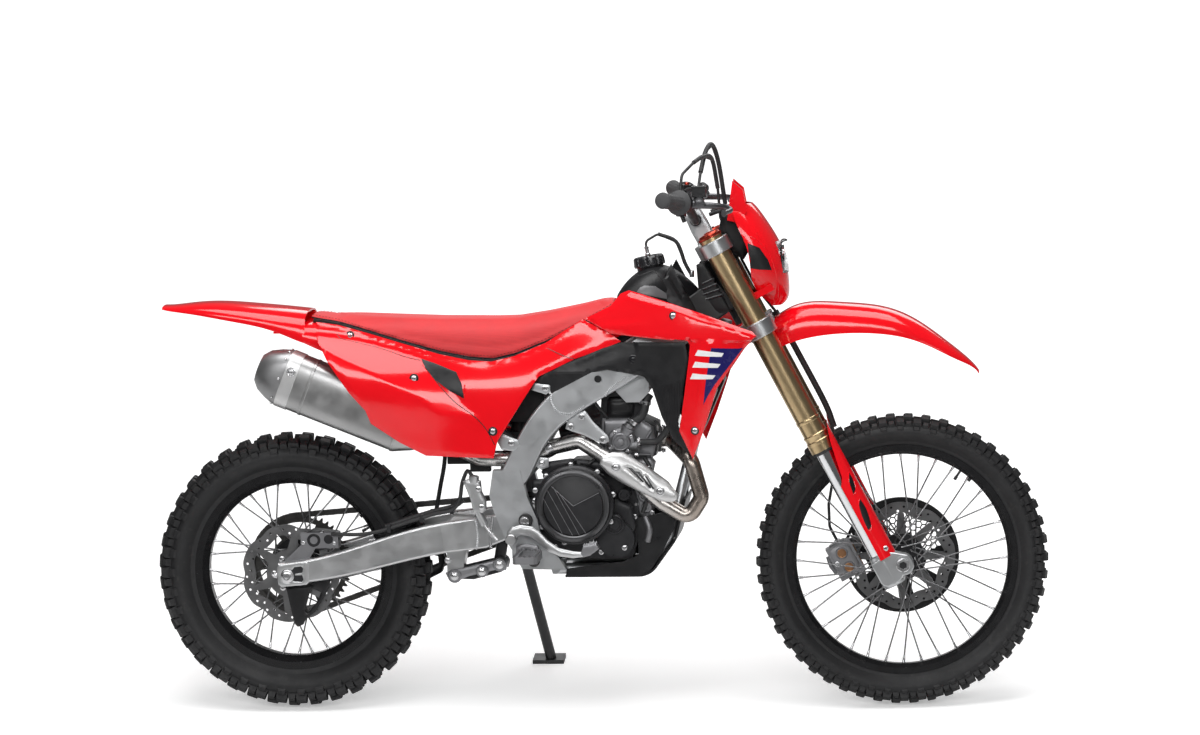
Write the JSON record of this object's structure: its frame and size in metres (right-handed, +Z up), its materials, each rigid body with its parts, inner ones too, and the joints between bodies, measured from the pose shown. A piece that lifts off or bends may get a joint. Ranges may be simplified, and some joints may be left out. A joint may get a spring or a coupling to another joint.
{
  "type": "motorcycle",
  "caption": "Enduro motorcycle with knobbly tyres, spoked wheels, twin-spar frame, long-travel fork, red plastics and a folding side stand, parked leaning on the stand.",
  "frame": {"origin": "on the ground, under the middle of the parked machine's bounding box", "axes": "+X forward, +Y to the rider's left, +Z up; the machine leans 10 degrees to its left about X, as it parks"},
  "size_m": [2.1643, 0.8246, 1.34],
  "materials": {
    "red_plastic": "high-gloss moulded plastic",
    "seat_cover": "matte grippy cover",
    "black_plastic": "moulded, fine grain",
    "frame_metal": "satin silver",
    "brushed_alloy": "brushed",
    "black_metal": "satin black",
    "fork_gold": "anodised",
    "bright_steel": "machined",
    "hub_metal": "anodised black",
    "rim_black": "satin black",
    "tyre": "moulded knobbly",
    "engine_metal": "cast and painted",
    "exhaust_steel": "heat tinted",
    "shock_metal": "dark steel",
    "black_rubber": "smooth rubber",
    "lamp_lens": "clear"
  },
  "bodies": {
    "chassis": {"main_frame": "frame_metal", "frame_cradle": "frame_metal", "subframe": "black_metal", "exhaust_pipe": "exhaust_steel", "silencer": "brushed_alloy", "fuel_tank": "black_plastic", "fuel_cap": "black_plastic", "engine": "engine_metal", "skid_plate": "black_plastic", "radiators": "black_plastic", "shrouds": "red_plastic", "seat_cushion": "seat_cover", "side_panels": "red_plastic", "inner_panels": "black_plastic", "rear_fender": "red_plastic", "airbox": "black_plastic", "swingarm": "brushed_alloy", "rear_axle": "bright_steel", "rear_shock": "shock_metal", "chain": "shock_metal", "rear_caliper": "brushed_alloy", "rear_disc_guard": "black_plastic", "foot_controls": "black_metal", "breather_hose": "black_rubber"},
    "fork": {"triple_clamps": "brushed_alloy", "fork_tubes": "fork_gold", "fork_sliders": "bright_steel", "front_axle": "bright_steel", "front_caliper": "brushed_alloy", "front_disc_guard": "black_plastic", "fork_guards": "red_plastic", "front_fender": "red_plastic", "handlebar": "black_metal", "bar_controls": "black_metal", "control_cables": "black_rubber", "headlight_mask": "red_plastic", "headlight": "lamp_lens"},
    "front_wheel": {"front_tyre": "tyre", "front_rim": "rim_black", "front_spokes": "bright_steel", "front_hub": "hub_metal", "front_brake_disc": "bright_steel"},
    "rear_wheel": {"rear_tyre": "tyre", "rear_rim": "rim_black", "rear_spokes": "bright_steel", "rear_hub": "hub_metal", "rear_brake_disc": "bright_steel", "rear_sprocket": "bright_steel"},
    "side_stand": {"side_stand": "black_metal"}
  },
  "joints": [
    {"name": "steering", "type": "hinge", "parent": "chassis", "child": "fork", "pos_m": [0.68013, -0.15898, 0.32002], "axis": [-0.4532, 0.1547, 0.8779], "range_deg": [-46, 38]},
    {"name": "front_wheel_spin", "type": "hinge", "parent": "fork", "child": "front_wheel", "pos_m": [0.7317, -0.15043, 0.34514], "axis": [-0.0623, 0.9769, -0.2044], "continuous": true},
    {"name": "rear_wheel_spin", "type": "hinge", "parent": "chassis", "child": "rear_wheel", "pos_m": [-0.74518, -0.15684, 0.33352], "axis": [-0.0002, 0.9848, -0.1736], "continuous": true},
    {"name": "stand_fold", "type": "hinge", "parent": "chassis", "child": "side_stand", "pos_m": [-0.20518, -0.02574, 0.33934], "axis": [0.2149, 0.9081, 0.3594], "range_deg": [0, 99]}
  ]
}
